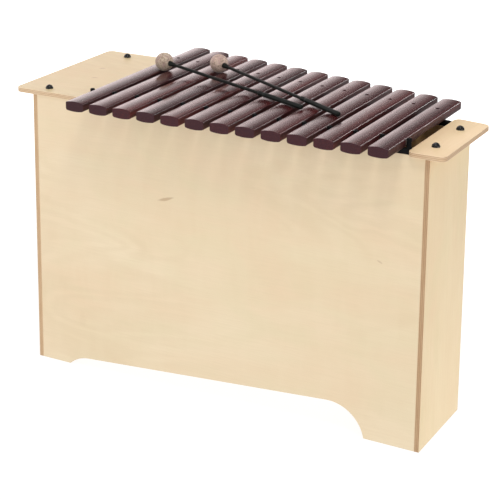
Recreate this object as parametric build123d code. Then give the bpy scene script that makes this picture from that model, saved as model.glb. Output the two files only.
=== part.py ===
from build123d import *
import os
from math import hypot, sqrt

# A 13-bar xylophone on a deep box resonator, with two mallets lying on the bars.
# Millimetres. Laid out from the box's front left foot corner: X to the right along
# the front face, Y to the back, Z up. The bass end is on the left. Saving shifts
# everything so that the origin is the bottom centre of the whole bounding box.

os.makedirs("parts", exist_ok=True)

FIT = 0.02                    # radial clearance of every bore

# Box resonator
BOX_LENGTH = 800.0
BOX_HEIGHT = 536.0
PLY = 9.0                     # thickness of every outer board
DEPTH_LEFT = 303.0            # bass end
DEPTH_RIGHT = 188.2           # treble end
BACK_ZONE = (150.0, 320.0)    # Y range that holds the whole back board
X_LEFT, X_RIGHT = PLY, BOX_LENGTH - PLY     # inner faces of the end boards

# Inside the box
FLOOR_T = 6.0
FLOOR_GAP = 4.0               # from the cut-out's sloping edge up to the floor
DIVIDER_T = 6.0
DIVIDER_TOP = 505.0
DIVIDER_GAPS = (3, 6, 10)     # the gaps between bars that have a divider below
CLEAT = 18.0                  # side of a corner cleat
CLEAT_TOP = 500.0
CLEAT_LIFT = 4.0              # above the floor
BATTEN = 30.0                 # width and height of the cleat under the left top board

# Low cut-out in the front and back boards: two equal arcs and a sloping line
CUT_R = 70.0
CUT_LEFT_CENTRE = (120.4, -51.1)            # x, z
CUT_RIGHT_CENTRE = (626.2, -13.1)

# Top boards
CAP_T = 9.0
CAP_CORNER_R = 12.0
CAP_RIM_R = 0.8
CAP_TOP = BOX_HEIGHT + CAP_T
LEFT_CAP_X = (-38.0, 126.0)
LEFT_CAP_Y = (-3.5, 327.0)
RIGHT_CAP_X = (763.0, 830.0)
RIGHT_CAP_FRONT = -12.0
RIGHT_CAP_BACK = (214.5, 205.0)             # y at its left and right edge

# Dome-head screws, placed by x, y
LEFT_FRONT_SCREW = (23.3, 20.5)
LEFT_BACK_SCREW = (23.5, 297.0)
LEFT_SCREWS = [LEFT_FRONT_SCREW, LEFT_BACK_SCREW]
RIGHT_SCREWS = [(794.2, 38.0), (794.2, 152.0)]
SCREW_HEAD_R = 7.4
SCREW_HEAD_H = 7.2
SCREW_SHANK_R = 2.0
SCREW_LENGTH = 32.0           # depth of the screw hole below the cap top
SCREW_END_GAP = 0.2           # under the screw's tip
SCREW_POINT_L = 4.0
SCREW_POINT_R = 0.3
SLOT_L, SLOT_W, SLOT_BOX_H = 5.2, 1.2, 4.0  # each arm of the cross slot

# Rubber strips
STRIP_H = 9.5
STRIP_W = 8.0
STRIP_X = (127.0, 762.6)
STRIP_TOP = BOX_HEIGHT + STRIP_H

# Pins and their blind sleeves
FRONT_NODE_Y = 4.6            # front support line
PIN_R = 1.5
PIN_DEEP = 25.0               # depth of the pin hole in the board
PIN_END_GAP = 0.1             # at both ends of a pin
SLEEVE_CAP = 2.0              # from the pin's top to the sleeve's top
SLEEVE_LIFT = 0.05            # above the strip
FRONT_SLEEVE_R = 4.25
FRONT_SLEEVE_TOP = 563.2
BACK_SLEEVE_R = 3.0
BACK_SLEEVE_TOP = 562.6

# Tone bars; pairs named _ENDS are for the first and last bar
BARS = 13
PITCH = 48.32
FIRST_X = 155.88
BAR_W = 37.1
BAR_SIDE_Z = (547.75, 562.3)  # bottom and top of a bar's flat side
CROWN = 2.3                   # rise of the top arc
BELLY = 2.1                   # drop of the bottom arc
TOP_EDGE_R = 1.3
LOW_EDGE_R = 3.6
END_EDGE_R = 0.9
BAR_FRONT_ENDS = (-92.2, -69.9)
BAR_BACK_ENDS = (372.9, 261.7)
BAR_HOLE_R = 3.75
ARCH_RISE_ENDS = (9.0, 6.2)   # tuning arch
ARCH_INSET = 17.0             # arch starts this far inside each support line
ARCH_DROP = 0.6               # arch ends start this far below the belly
ARCH_CUT_H = 5.0              # cutter height below the arch ends

# Mallets; lengths run from the head's centre towards the tail
HEAD_R = 18.0
CORE_R = 11.0
SHAFT_R = 3.0
SHAFT_START = -6.0
SHAFT_END_GAP = 0.2
GRIP_R = 4.5
GRIP_L = 110.0
GRIP_CAP = 4.0                # grip beyond the shaft's end
GRIP_TAIL_EDGE_R = 2.6
GRIP_HEAD_EDGE_R = 1.0
MALLET_L = 372.0              # head centre to tail end
COLLAR_R = 5.3                # tapered collar, radius inside the ball
COLLAR_TIP_R = 3.5            # radius where it ends on the shaft
COLLAR_TIP_EDGE_R = 0.25
COLLAR_FROM = 14.5
COLLAR_TO = 31.0
MALLETS = [                   # head centre, point on the axis at the tail
    ((178.3, 185.3, 579.95), (530.91, 67.32, 568.39)),
    ((276.0, 226.9, 579.70), (607.31, 58.09, 568.72)),
]

# From the layout corner to the origin: midway across the top boards and the first bar
ORIGIN = ((LEFT_CAP_X[0] + RIGHT_CAP_X[1]) / 2, (BAR_FRONT_ENDS[0] + BAR_BACK_ENDS[0]) / 2)

# Slopes, and how much longer a sloping board's thickness measures along an axis
BACK_SLOPE = (DEPTH_LEFT - DEPTH_RIGHT) / BOX_LENGTH
BACK_STRETCH = sqrt(1 + BACK_SLOPE**2)
CUT_SLOPE = ((CUT_RIGHT_CENTRE[1] - CUT_LEFT_CENTRE[1])
             / (CUT_RIGHT_CENTRE[0] - CUT_LEFT_CENTRE[0]))
CUT_STRETCH = sqrt(1 + CUT_SLOPE**2)


# ---------------------------------------------------------------------------
# Lines of the box
# ---------------------------------------------------------------------------
def back_outer(x):
    """Y of the back board's outer face."""
    return DEPTH_RIGHT + BACK_SLOPE * (BOX_LENGTH - x)


def back_inner(x):
    return back_outer(x) - PLY * BACK_STRETCH


def back_mid(x):
    return back_outer(x) - 0.5 * PLY * BACK_STRETCH


def floor_low(x):
    """Height of the floor's underside, parallel to the cut-out's sloping edge."""
    cut_edge = (CUT_LEFT_CENTRE[1] + CUT_R * CUT_STRETCH
                + CUT_SLOPE * (x - CUT_LEFT_CENTRE[0]))
    return cut_edge + FLOOR_GAP


def floor_top(x):
    return floor_low(x) + FLOOR_T


BAR_X = [FIRST_X + PITCH * i for i in range(BARS)]
GAP_X = [FIRST_X - PITCH / 2 + PITCH * i for i in range(BARS + 1)]
FRONT_PINS = [(x, FRONT_NODE_Y) for x in GAP_X]
BACK_PINS = [(x, back_mid(x)) for x in BAR_X]


# ---------------------------------------------------------------------------
# Helpers
# ---------------------------------------------------------------------------
def plan(x0, x1, front, back):
    """Four-sided plan outline; front and back are each a Y or a function of x."""
    def y_at(side, x):
        return side(x) if callable(side) else side

    return [(x0, y_at(front, x0)), (x1, y_at(front, x1)),
            (x1, y_at(back, x1)), (x0, y_at(back, x0))]


def prism(points, z0, z1):
    """Upright prism over a plan outline."""
    face = make_face(Polyline(*[(x, y, z0) for x, y in points], close=True))
    return extrude(face, amount=z1 - z0, dir=(0, 0, 1))


def side_prism(points, y0, y1):
    """Prism over an outline in the XZ plane, from y0 to y1."""
    face = make_face(Polyline(*[(x, y0, z) for x, z in points], close=True))
    return extrude(face, amount=y1 - y0, dir=(0, 1, 0))


def rod(x, y, z0, z1, radius):
    return Pos(x, y, 0.5 * (z0 + z1)) * Cylinder(radius, z1 - z0)


def drill(shape, places, z0, z1, radius):
    for x, y in places:
        shape -= rod(x, y, z0, z1, radius)
    return shape


def drill_pins(board, places):
    return drill(board, places, BOX_HEIGHT - PIN_DEEP, BOX_HEIGHT + 5, PIN_R + FIT)


def drill_screws(board, places):
    return drill(board, places, CAP_TOP - SCREW_LENGTH, CAP_TOP + 2, SCREW_SHANK_R + FIT)


def save(name, *shapes):
    """Write one piece, shifted to the origin."""
    shift = Pos(-ORIGIN[0], -ORIGIN[1], 0)
    moved = [shift * solid for shape in shapes for solid in shape.solids()]
    piece = moved[0] if len(moved) == 1 else Compound(moved)
    piece.label = name
    export_step(piece, f"parts/{name}.step")


# ---------------------------------------------------------------------------
# Outer boards
# ---------------------------------------------------------------------------
def cut_arc_points(centre, side):
    """Foot, middle and top of a cut-out arc; side is -1 for left, 1 for right."""
    centre_x, centre_z = centre
    foot = (centre_x + side * sqrt(CUT_R**2 - centre_z**2), 0.0)
    top = (centre_x - CUT_R * CUT_SLOPE / CUT_STRETCH, centre_z + CUT_R / CUT_STRETCH)
    # The middle lies along the bisector of the radii to the foot and the top
    along_x = foot[0] + top[0] - 2 * centre_x
    along_z = foot[1] + top[1] - 2 * centre_z
    reach = CUT_R / hypot(along_x, along_z)
    middle = (centre_x + reach * along_x, centre_z + reach * along_z)
    return foot, middle, top


def cut_out_board(y0, y1):
    """Upright board between the end boards, with the low cut-out."""
    def at_front(points):
        return [(x, y0, z) for x, z in points]

    left_arc = at_front(cut_arc_points(CUT_LEFT_CENTRE, -1))
    right_arc = at_front(cut_arc_points(CUT_RIGHT_CENTRE, 1))
    left_low, left_high, right_high, right_low = at_front(
        [(X_LEFT, 0), (X_LEFT, BOX_HEIGHT), (X_RIGHT, BOX_HEIGHT), (X_RIGHT, 0)])
    face = make_face([
        Line(left_low, left_arc[0]),
        ThreePointArc(*left_arc),
        Line(left_arc[2], right_arc[2]),
        ThreePointArc(*reversed(right_arc)),
        Line(right_arc[0], right_low),
        Line(right_low, right_high),
        Line(right_high, left_high),
        Line(left_high, left_low),
    ])
    return extrude(face, amount=y1 - y0, dir=(0, 1, 0))


def front_panel():
    return drill_pins(cut_out_board(0.0, PLY), FRONT_PINS)


def back_panel():
    """The cut-out is swept along Y, then trimmed to the slanting board."""
    slant = prism(plan(X_LEFT, X_RIGHT, back_inner, back_outer), -10, BOX_HEIGHT + 10)
    board = drill_pins(cut_out_board(*BACK_ZONE) & slant, BACK_PINS)
    return drill_screws(board, [LEFT_BACK_SCREW])


def left_end_panel():
    return prism(plan(0, PLY, 0, back_outer), 0, BOX_HEIGHT)


def right_end_panel():
    board = prism(plan(X_RIGHT, BOX_LENGTH, 0, back_outer), 0, BOX_HEIGHT)
    return drill_screws(board, RIGHT_SCREWS)


# ---------------------------------------------------------------------------
# Inside the box
# ---------------------------------------------------------------------------
def bottom_board():
    """Sloping floor."""
    slab = side_prism([(X_LEFT, floor_low(X_LEFT)), (X_RIGHT, floor_low(X_RIGHT)),
                       (X_RIGHT, floor_top(X_RIGHT)), (X_LEFT, floor_top(X_LEFT))],
                      0, BACK_ZONE[1])
    return slab & prism(plan(X_LEFT, X_RIGHT, PLY, back_inner), 0, BOX_HEIGHT)


def divider(x):
    above_floor = side_prism([(X_LEFT, floor_top(X_LEFT)), (X_RIGHT, floor_top(X_RIGHT)),
                              (X_RIGHT, BOX_HEIGHT), (X_LEFT, BOX_HEIGHT)],
                             0, BACK_ZONE[1])
    board = prism(plan(x - DIVIDER_T / 2, x + DIVIDER_T / 2, PLY, back_inner),
                  0, DIVIDER_TOP)
    return board & above_floor


def corner_cleats():
    """Square posts in the front corners, then the back corners."""
    cleats = []
    for front, back in ((PLY, PLY + CLEAT), (lambda x: back_inner(x) - CLEAT, back_inner)):
        for x0 in (X_LEFT, X_RIGHT - CLEAT):
            x1 = x0 + CLEAT
            cleats.append(prism(plan(x0, x1, front, back),
                                floor_top(x1) + CLEAT_LIFT, CLEAT_TOP))
    return cleats


def left_cap_cleat():
    batten = prism(plan(X_LEFT, X_LEFT + BATTEN, PLY, back_inner),
                   BOX_HEIGHT - BATTEN, BOX_HEIGHT)
    return drill_screws(batten, [LEFT_FRONT_SCREW])


# ---------------------------------------------------------------------------
# Top boards and their screws
# ---------------------------------------------------------------------------
def cap_board(points, screws):
    """Board with rounded corners and softened rims, drilled for its screws."""
    board = prism(points, BOX_HEIGHT, CAP_TOP)
    board = fillet(board.edges().filter_by(Axis.Z), CAP_CORNER_R)
    rims = [e for e in board.edges()
            if min(abs(e.center().Z - BOX_HEIGHT), abs(e.center().Z - CAP_TOP)) < 1e-6]
    return drill_screws(fillet(rims, CAP_RIM_R), screws)


def left_cap_board():
    return cap_board(plan(*LEFT_CAP_X, *LEFT_CAP_Y), LEFT_SCREWS)


def right_cap_board():
    x0, x1 = RIGHT_CAP_X
    return cap_board([(x0, RIGHT_CAP_FRONT), (x1, RIGHT_CAP_FRONT),
                      (x1, RIGHT_CAP_BACK[1]), (x0, RIGHT_CAP_BACK[0])], RIGHT_SCREWS)


def dome_screw(x, y):
    """Flat-bottomed cap of a sphere on a plain pointed shank, with a cross slot."""
    sphere_r = (SCREW_HEAD_R**2 + SCREW_HEAD_H**2) / (2 * SCREW_HEAD_H)
    head_top = CAP_TOP + SCREW_HEAD_H
    ball = Pos(x, y, head_top - sphere_r) * Sphere(sphere_r)
    # The head sits 0.01 clear of the board
    head = ball & rod(x, y, CAP_TOP + 0.01, CAP_TOP + 20.01, SCREW_HEAD_R + 5)
    tip_z = CAP_TOP - SCREW_LENGTH + SCREW_END_GAP
    shank = rod(x, y, tip_z + SCREW_POINT_L, CAP_TOP + 1, SCREW_SHANK_R)
    point = (Pos(x, y, tip_z + SCREW_POINT_L / 2)
             * Cone(SCREW_POINT_R, SCREW_SHANK_R, SCREW_POINT_L))
    slot_place = Pos(x, y, head_top)
    slot = (slot_place * Box(SLOT_L, SLOT_W, SLOT_BOX_H)
            + slot_place * Box(SLOT_W, SLOT_L, SLOT_BOX_H))
    return (head + shank + point) - slot


# ---------------------------------------------------------------------------
# Rubber strips, pins and sleeves
# ---------------------------------------------------------------------------
def rail_strip(front, back, pins):
    strip = prism(plan(*STRIP_X, front, back), BOX_HEIGHT, STRIP_TOP)
    return drill(strip, pins, BOX_HEIGHT - 1, STRIP_TOP + 1, PIN_R + FIT)


def front_rail_strip():
    return rail_strip(PLY / 2 - STRIP_W / 2, PLY / 2 + STRIP_W / 2, FRONT_PINS)


def back_rail_strip():
    half_width = STRIP_W / 2 * BACK_STRETCH
    return rail_strip(lambda x: back_mid(x) - half_width,
                      lambda x: back_mid(x) + half_width, BACK_PINS)


def pin(x, y, sleeve_top):
    return rod(x, y, BOX_HEIGHT - PIN_DEEP + PIN_END_GAP, sleeve_top - SLEEVE_CAP, PIN_R)


def sleeve(x, y, radius, top):
    """Blind rubber sleeve over a pin, with a rounded top."""
    body = rod(x, y, STRIP_TOP + SLEEVE_LIFT, top, radius)
    body = fillet(body.edges().sort_by(Axis.Z)[-1], min(1.2, radius * 0.35))
    return body - rod(x, y, STRIP_TOP - 1, top - SLEEVE_CAP + PIN_END_GAP, PIN_R + FIT)


# ---------------------------------------------------------------------------
# Tone bars
# ---------------------------------------------------------------------------
def bar_section(x, y):
    """Crowned, round-bellied cross-section as a face in the plane at depth y."""
    half_width = BAR_W / 2
    low, high = BAR_SIDE_Z
    face = make_face([
        Line((-half_width, low), (-half_width, high)),
        ThreePointArc((-half_width, high), (0, high + CROWN), (half_width, high)),
        Line((half_width, high), (half_width, low)),
        ThreePointArc((half_width, low), (0, low - BELLY), (-half_width, low)),
    ])
    face = fillet([v for v in face.vertices() if v.Y < (low + high) / 2], LOW_EDGE_R)
    face = fillet([v for v in face.vertices() if v.Y > high - 0.01], TOP_EDGE_R)
    return Plane(origin=(x, y, 0), x_dir=(1, 0, 0), z_dir=(0, -1, 0)) * face


def arch_cutter(x, y0, y1, rise):
    """Arch profile on the bar's centre plane, extruded to both sides."""
    z_top = BAR_SIDE_Z[0] - BELLY - ARCH_DROP
    z_bottom = z_top - ARCH_CUT_H
    profile = make_face([
        ThreePointArc((x, y0, z_top), (x, (y0 + y1) / 2, z_top + rise), (x, y1, z_top)),
        Line((x, y1, z_top), (x, y1, z_bottom)),
        Line((x, y1, z_bottom), (x, y0, z_bottom)),
        Line((x, y0, z_bottom), (x, y0, z_top)),
    ])
    return (extrude(profile, amount=BAR_W, dir=(1, 0, 0))
            + extrude(profile, amount=BAR_W, dir=(-1, 0, 0)))


def tone_bar(i):
    """Bar i, with a tuning arch between the support lines and a hole at the back one."""
    def graded(ends):
        return ends[0] + (ends[1] - ends[0]) * i / (BARS - 1)

    x, hole_y = BACK_PINS[i]
    y0, y1 = graded(BAR_FRONT_ENDS), graded(BAR_BACK_ENDS)
    body = extrude(bar_section(x, y0), amount=y1 - y0, dir=(0, 1, 0))
    end_edges = [e for e in body.edges()
                 if min(abs(e.center().Y - y0), abs(e.center().Y - y1)) < 1e-6]
    body = fillet(end_edges, END_EDGE_R)
    body -= arch_cutter(x, FRONT_NODE_Y + ARCH_INSET, hole_y - ARCH_INSET,
                        graded(ARCH_RISE_ENDS))
    return drill(body, [(x, hole_y)], BAR_SIDE_Z[0] - 10, BAR_SIDE_Z[1] + 10, BAR_HOLE_R)


# ---------------------------------------------------------------------------
# Mallets, built along local Z with the head's centre at zero
# ---------------------------------------------------------------------------
def along(z0, z1, radius):
    return rod(0, 0, z0, z1, radius)


def shaft_bore(z0, z1):
    return along(z0, z1, SHAFT_R + FIT)


def collar_cone(extra=0.0):
    cone = Cone(COLLAR_R + extra, COLLAR_TIP_R + extra, COLLAR_TO - COLLAR_FROM + extra)
    return Pos(0, 0, (COLLAR_FROM + COLLAR_TO) / 2) * cone


def mallet_winding():
    return (Sphere(HEAD_R) - Sphere(CORE_R + FIT) - shaft_bore(0, COLLAR_FROM)
            - collar_cone(2 * FIT))


def mallet_core():
    return Sphere(CORE_R) - shaft_bore(SHAFT_START - SHAFT_END_GAP, CORE_R + 2)


def mallet_collar():
    tip_edge = collar_cone().edges().sort_by(Axis.Z)[-1]
    return fillet(tip_edge, COLLAR_TIP_EDGE_R) - shaft_bore(COLLAR_FROM - 1, COLLAR_TO + 1)


def mallet_shaft():
    return along(SHAFT_START, MALLET_L - GRIP_CAP, SHAFT_R)


def mallet_grip():
    start = MALLET_L - GRIP_L
    grip = along(start, MALLET_L, GRIP_R)
    grip = fillet(grip.edges().sort_by(Axis.Z)[-1], GRIP_TAIL_EDGE_R)
    grip = fillet(grip.edges().sort_by(Axis.Z)[0], GRIP_HEAD_EDGE_R)
    return grip - shaft_bore(start - 1, MALLET_L - GRIP_CAP + SHAFT_END_GAP)


MALLET_PARTS = dict(winding=mallet_winding, core=mallet_core, collar=mallet_collar,
                    shaft=mallet_shaft, grip=mallet_grip)


# ---------------------------------------------------------------------------
# One file per piece
# ---------------------------------------------------------------------------
for build in (front_panel, back_panel, left_end_panel, right_end_panel, bottom_board,
              left_cap_cleat, left_cap_board, right_cap_board,
              front_rail_strip, back_rail_strip):
    save(build.__name__, build())

for n, gap in enumerate(DIVIDER_GAPS, 1):
    save(f"divider_{n}", divider(GAP_X[gap]))
save("corner_cleats", *corner_cleats())
save("cap_screws", *[dome_screw(x, y) for x, y in LEFT_SCREWS + RIGHT_SCREWS])

for side, places, radius, top in (
        ("front", FRONT_PINS, FRONT_SLEEVE_R, FRONT_SLEEVE_TOP),
        ("back", BACK_PINS, BACK_SLEEVE_R, BACK_SLEEVE_TOP)):
    save(f"{side}_pins", *[pin(x, y, top) for x, y in places])
    save(f"{side}_pin_sleeves", *[sleeve(x, y, radius, top) for x, y in places])

for i in range(BARS):
    save(f"bar_{i + 1:02d}", tone_bar(i))

for n, (head, tail) in enumerate(MALLETS, 1):
    frame = Plane(origin=head, z_dir=(Vector(*tail) - Vector(*head)).normalized())
    for part, build in MALLET_PARTS.items():
        save(f"mallet_{n}_{part}", frame * build())
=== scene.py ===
import math
import random

import bmesh
import bpy
from mathutils import Matrix, Vector, noise


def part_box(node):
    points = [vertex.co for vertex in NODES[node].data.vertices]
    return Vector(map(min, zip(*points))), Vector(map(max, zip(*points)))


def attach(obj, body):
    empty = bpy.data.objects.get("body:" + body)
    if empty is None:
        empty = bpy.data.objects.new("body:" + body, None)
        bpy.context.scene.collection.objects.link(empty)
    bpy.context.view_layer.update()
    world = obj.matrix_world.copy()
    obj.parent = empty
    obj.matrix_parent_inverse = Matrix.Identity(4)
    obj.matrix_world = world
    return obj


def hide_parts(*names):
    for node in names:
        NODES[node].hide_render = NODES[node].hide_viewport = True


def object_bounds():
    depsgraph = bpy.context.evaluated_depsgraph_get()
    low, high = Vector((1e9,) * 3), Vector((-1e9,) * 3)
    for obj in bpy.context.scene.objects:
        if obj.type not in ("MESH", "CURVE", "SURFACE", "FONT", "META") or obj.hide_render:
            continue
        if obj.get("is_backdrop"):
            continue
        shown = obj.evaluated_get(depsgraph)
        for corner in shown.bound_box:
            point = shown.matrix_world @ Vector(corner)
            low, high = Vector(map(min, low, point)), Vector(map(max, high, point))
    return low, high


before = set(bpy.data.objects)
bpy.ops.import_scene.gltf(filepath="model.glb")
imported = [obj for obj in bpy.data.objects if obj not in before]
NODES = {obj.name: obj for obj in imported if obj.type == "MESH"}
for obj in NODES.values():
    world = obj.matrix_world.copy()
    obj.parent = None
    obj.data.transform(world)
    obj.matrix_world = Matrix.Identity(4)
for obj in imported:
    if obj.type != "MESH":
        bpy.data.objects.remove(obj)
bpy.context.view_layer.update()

# ------------------------------------------------------------------ camera
OX, OY = 396.0, 140.35
CAM_POS = Vector(((1705.757 - OX) / 1000, (-2364.173 - OY) / 1000, 1341.596 / 1000))
AZ, EL, ROLL = math.radians(29.6478), math.radians(14.7349), math.radians(0.0813)
fwd = Vector((-math.sin(AZ) * math.cos(EL), math.cos(AZ) * math.cos(EL), -math.sin(EL)))
right = Vector((math.cos(AZ), math.sin(AZ), 0))
up = right.cross(fwd)
r2 = math.cos(ROLL) * right + math.sin(ROLL) * up
u2 = -math.sin(ROLL) * right + math.cos(ROLL) * up
cam_data = bpy.data.cameras.new("camera")
cam = bpy.data.objects.new("camera", cam_data)
bpy.context.scene.collection.objects.link(cam)
m = Matrix.Identity(4)
for i in range(3):
    m[i][0], m[i][1], m[i][2], m[i][3] = r2[i], u2[i], -fwd[i], CAM_POS[i]
cam.matrix_world = m
cam_data.sensor_width = 36
cam_data.lens = 36 * 1591.668 / 500
SHIFT_X, SHIFT_Y = (250 - 198.822) / 500, (71.651 - 250) / 500
cam_data.clip_start, cam_data.clip_end = 0.05, 100
bpy.context.scene.camera = cam


def shift_driver(prop, value):
    """The photograph's frame is off the lens axis. The shift holds only while the camera stands at its own place."""
    d = cam_data.driver_add(prop).driver
    d.type = "SCRIPTED"
    for name, axis in (("px", "LOC_X"), ("py", "LOC_Y"), ("pz", "LOC_Z")):
        v = d.variables.new()
        v.name = name
        v.type = "TRANSFORMS"
        v.targets[0].id = cam
        v.targets[0].transform_type = axis
        v.targets[0].transform_space = "WORLD_SPACE"
    d.expression = "%.6f if abs(px-(%.6f))+abs(py-(%.6f))+abs(pz-(%.6f))<0.001 else 0.0" % (
        value, CAM_POS.x, CAM_POS.y, CAM_POS.z)


shift_driver("shift_x", SHIFT_X)
shift_driver("shift_y", SHIFT_Y)


def P(x, y, z):
    """Layout millimetres (from the box's front left foot corner) to the frame's metres."""
    return Vector(((x - OX) / 1000, (y - OY) / 1000, z / 1000))


# ------------------------------------------------------------------ node helpers
class NT:
    def __init__(self, mat):
        mat.use_nodes = True
        self.mat, self.t = mat, mat.node_tree
        self.t.nodes.clear()
        self.col = 0

    def n(self, kind, **kw):
        node = self.t.nodes.new(kind)
        self.col += 1
        node.location = (self.col * 40, 0)
        for k, v in kw.items():
            setattr(node, k, v)
        return node

    def link(self, a, b):
        self.t.links.new(a, b)

    def put(self, sock, v):
        if isinstance(v, bpy.types.NodeSocket):
            self.link(v, sock)
        elif v is not None:
            if hasattr(sock.default_value, "__len__") and not hasattr(v, "__len__"):
                v = [v] * len(sock.default_value)
            if hasattr(v, "__len__") and hasattr(sock.default_value, "__len__") and len(v) == 3 and len(sock.default_value) == 4:
                v = (*v, 1.0)
            sock.default_value = v

    def coords(self):
        return self.n("ShaderNodeTexCoord")

    def math(self, op, a, b=None, c=None, clamp=False):
        m_ = self.n("ShaderNodeMath", operation=op, use_clamp=clamp)
        self.put(m_.inputs[0], a)
        if b is not None:
            self.put(m_.inputs[1], b)
        if c is not None:
            self.put(m_.inputs[2], c)
        return m_.outputs[0]

    def vmath(self, op, a, b=None, scale=None):
        m_ = self.n("ShaderNodeVectorMath", operation=op)
        self.put(m_.inputs[0], a)
        if b is not None:
            self.put(m_.inputs[1], b)
        if scale is not None:
            self.put(m_.inputs["Scale"], scale)
        return m_.outputs["Value"] if op in ("DOT_PRODUCT", "LENGTH", "DISTANCE") else m_.outputs["Vector"]

    def combine(self, x, y, z):
        c = self.n("ShaderNodeCombineXYZ")
        self.put(c.inputs[0], x), self.put(c.inputs[1], y), self.put(c.inputs[2], z)
        return c.outputs[0]

    def noise(self, vec, scale, detail=2.0, rough=0.5, distort=0.0, out="Fac", dim="3D"):
        t = self.n("ShaderNodeTexNoise", noise_dimensions=dim)
        self.put(t.inputs["Vector"], vec)
        self.put(t.inputs["Scale"], scale)
        self.put(t.inputs["Detail"], detail)
        self.put(t.inputs["Roughness"], rough)
        self.put(t.inputs["Distortion"], distort)
        return t.outputs[out]

    def voronoi(self, vec, scale, feature="F1", out="Distance", rand=1.0):
        t = self.n("ShaderNodeTexVoronoi", feature=feature)
        self.put(t.inputs["Vector"], vec)
        self.put(t.inputs["Scale"], scale)
        self.put(t.inputs["Randomness"], rand)
        return t.outputs[out]

    def ramp(self, fac, stops, interp="LINEAR"):
        r = self.n("ShaderNodeValToRGB")
        r.color_ramp.interpolation = interp
        els = r.color_ramp.elements
        while len(els) < len(stops):
            els.new(0.5)
        for e, (pos, c) in zip(els, sorted(stops, key=lambda s: s[0])):
            e.position = pos
            e.color = (c, c, c, 1) if not hasattr(c, "__len__") else (*c[:3], 1)
        self.put(r.inputs[0], fac)
        return r.outputs[0]

    def range(self, v, a, b, c, d, kind="LINEAR", clamp=True):
        m_ = self.n("ShaderNodeMapRange", interpolation_type=kind, clamp=clamp)
        for i, x in enumerate((v, a, b, c, d)):
            self.put(m_.inputs[i], x)
        return m_.outputs[0]

    def mix(self, fac, a, b, kind="MIX"):
        m_ = self.n("ShaderNodeMix", data_type="RGBA", blend_type=kind)
        self.put(m_.inputs[0], fac)
        self.put(m_.inputs[6], a)
        self.put(m_.inputs[7], b)
        return m_.outputs[2]

    def bump(self, height, strength, dist, normal=None):
        b = self.n("ShaderNodeBump")
        self.put(b.inputs["Height"], height)
        self.put(b.inputs["Strength"], strength)
        self.put(b.inputs["Distance"], dist)
        if normal is not None:
            self.put(b.inputs["Normal"], normal)
        return b.outputs[0]

    def finish(self, color, rough, normal=None, metallic=0.0, spec=0.5, coat=0.0, coat_rough=0.2, sheen=0.0, sss=0.0, ior=1.5):
        b = self.n("ShaderNodeBsdfPrincipled")
        self.put(b.inputs["Base Color"], color)
        self.put(b.inputs["Roughness"], rough)
        self.put(b.inputs["Metallic"], metallic)
        self.put(b.inputs["Specular IOR Level"], spec)
        self.put(b.inputs["IOR"], ior)
        self.put(b.inputs["Coat Weight"], coat)
        self.put(b.inputs["Coat Roughness"], coat_rough)
        self.put(b.inputs["Sheen Weight"], sheen)
        if sss:
            self.put(b.inputs["Subsurface Weight"], sss)
            b.inputs["Subsurface Radius"].default_value = (0.003, 0.002, 0.001)
        if normal is not None:
            self.put(b.inputs["Normal"], normal)
        o = self.n("ShaderNodeOutputMaterial")
        self.link(b.outputs[0], o.inputs[0])
        return self.mat


def new_mat(name):
    return NT(bpy.data.materials.new(name))


# ------------------------------------------------------------------ birch plywood
BIRCH = (0.790, 0.652, 0.450)
SLANT = (303.0 - 188.2) / 800.0


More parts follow.
